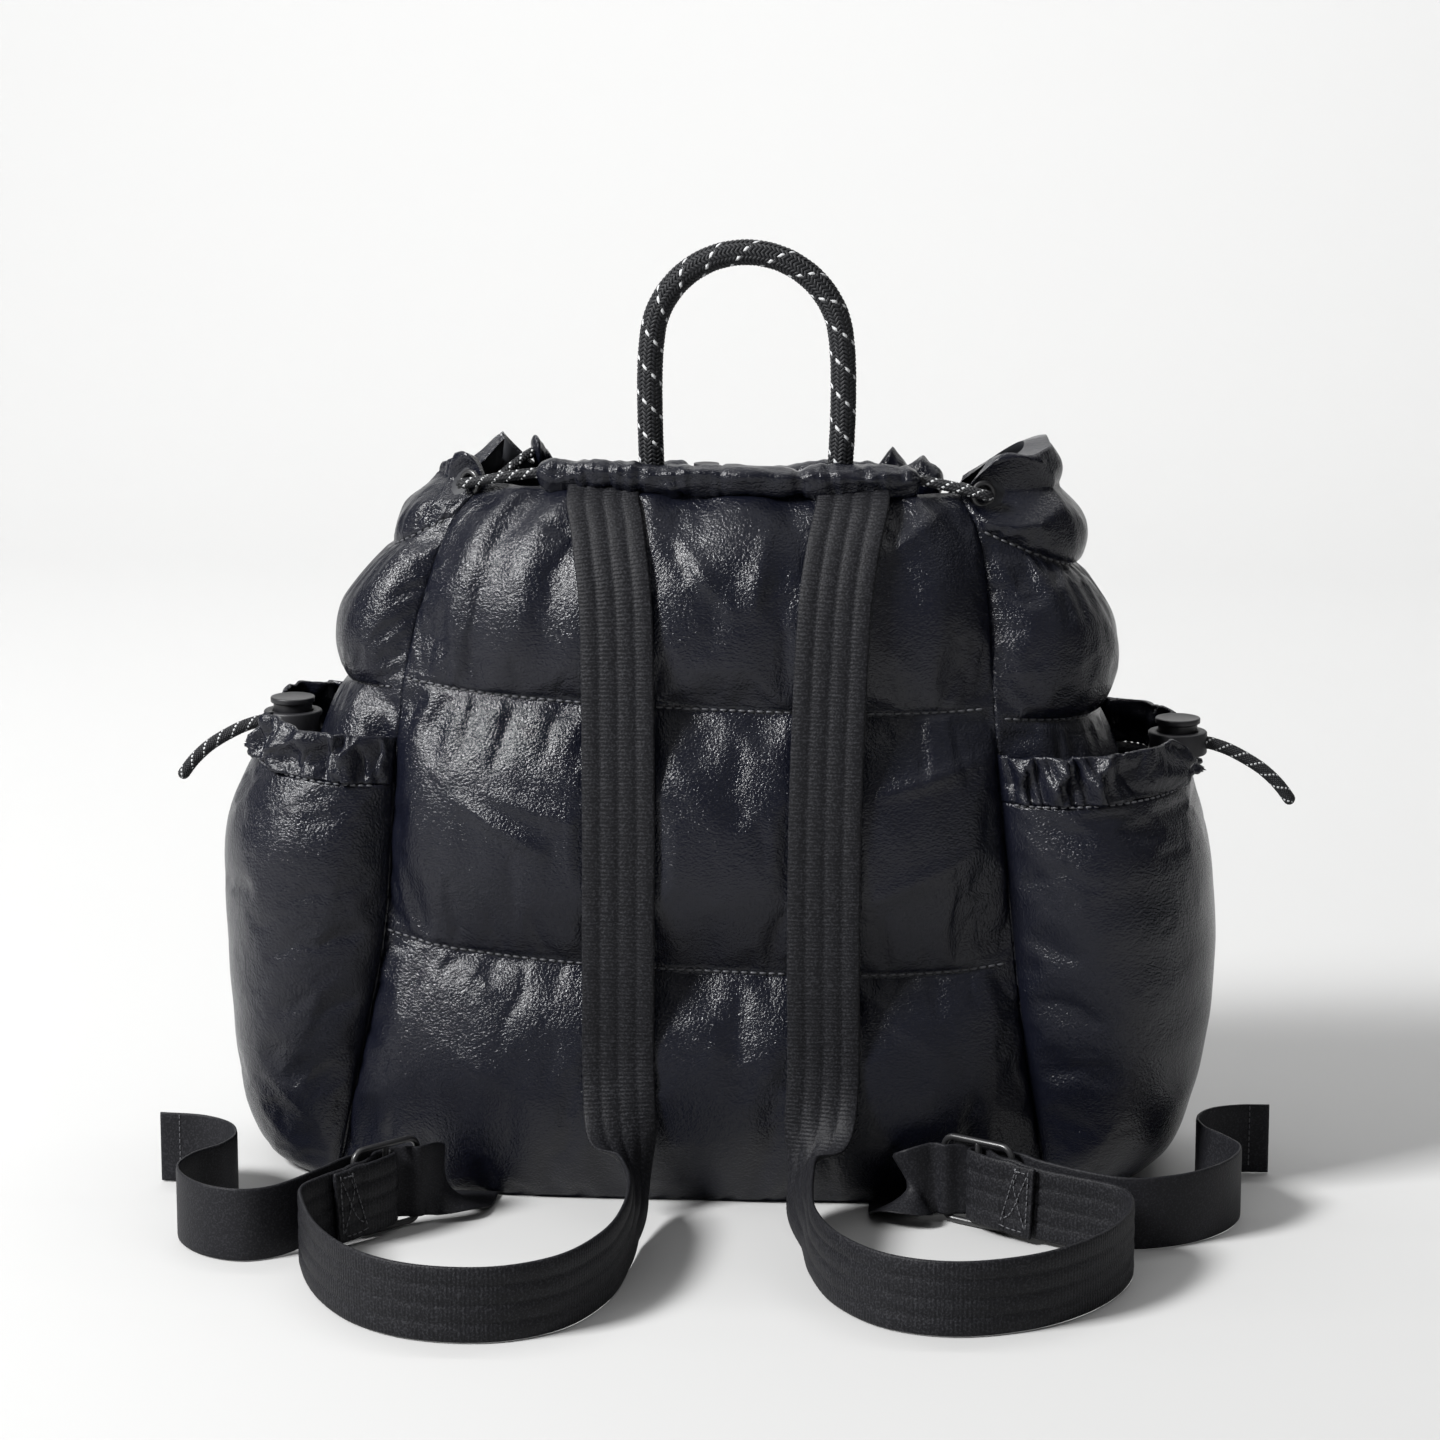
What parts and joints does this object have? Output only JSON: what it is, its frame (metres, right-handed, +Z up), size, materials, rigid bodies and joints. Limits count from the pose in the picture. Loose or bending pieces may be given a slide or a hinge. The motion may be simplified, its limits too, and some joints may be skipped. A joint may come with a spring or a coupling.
{
  "type": "quilted backpack",
  "caption": "Small quilted puffer backpack with a drawcord rim, a rope handle, gathered side pockets with cord locks, and webbing shoulder straps with sliders.",
  "frame": {"origin": "middle of the base, on the surface that the bag stands on", "axes": "+Z up; +X towards the wearer's right; the shoulder straps are on the -Y side"},
  "size_m": [0.4791, 0.3361, 0.3994],
  "materials": {
    "quilted_nylon": "glossy crinkled",
    "cord": "braided, with light flecks",
    "strap_webbing": "matt, ribbed",
    "tail_webbing": "fine ribbed, slight sheen",
    "black_metal": "satin black",
    "lock_plastic": "satin",
    "button_plastic": "satin gloss"
  },
  "bodies": {
    "root": {"back_panel": "quilted_nylon", "front_panel": "quilted_nylon", "left_gusset": "quilted_nylon", "left_eyelet": "black_metal", "right_gusset": "quilted_nylon", "right_eyelet": "black_metal", "base_panel": "quilted_nylon", "back_hem": "quilted_nylon", "front_hem_right": "quilted_nylon", "front_hem_left": "quilted_nylon", "main_drawcord": "cord", "front_lock": "lock_plastic", "left_pocket": "quilted_nylon", "left_pocket_ruffle": "quilted_nylon", "right_pocket": "quilted_nylon", "right_pocket_ruffle": "quilted_nylon", "left_lock_body": "lock_plastic", "left_pocket_cord": "cord", "right_lock_body": "lock_plastic", "right_pocket_cord": "cord", "top_handle": "cord", "left_shoulder_strap": "strap_webbing", "left_tail_webbing": "tail_webbing", "left_strap_slider": "black_metal", "right_shoulder_strap": "strap_webbing", "right_tail_webbing": "tail_webbing", "right_strap_slider": "black_metal"},
    "left_button": {"left_lock_button": "button_plastic"},
    "right_button": {"right_lock_button": "button_plastic"}
  },
  "joints": [
    {"name": "left_button_press", "type": "slide", "parent": "root", "child": "left_button", "axis": [0, 0, -1], "range_m": [0, 0.003], "stiffness_N_per_m": 300},
    {"name": "right_button_press", "type": "slide", "parent": "root", "child": "right_button", "axis": [0, 0, -1], "range_m": [0, 0.003], "stiffness_N_per_m": 300}
  ]
}
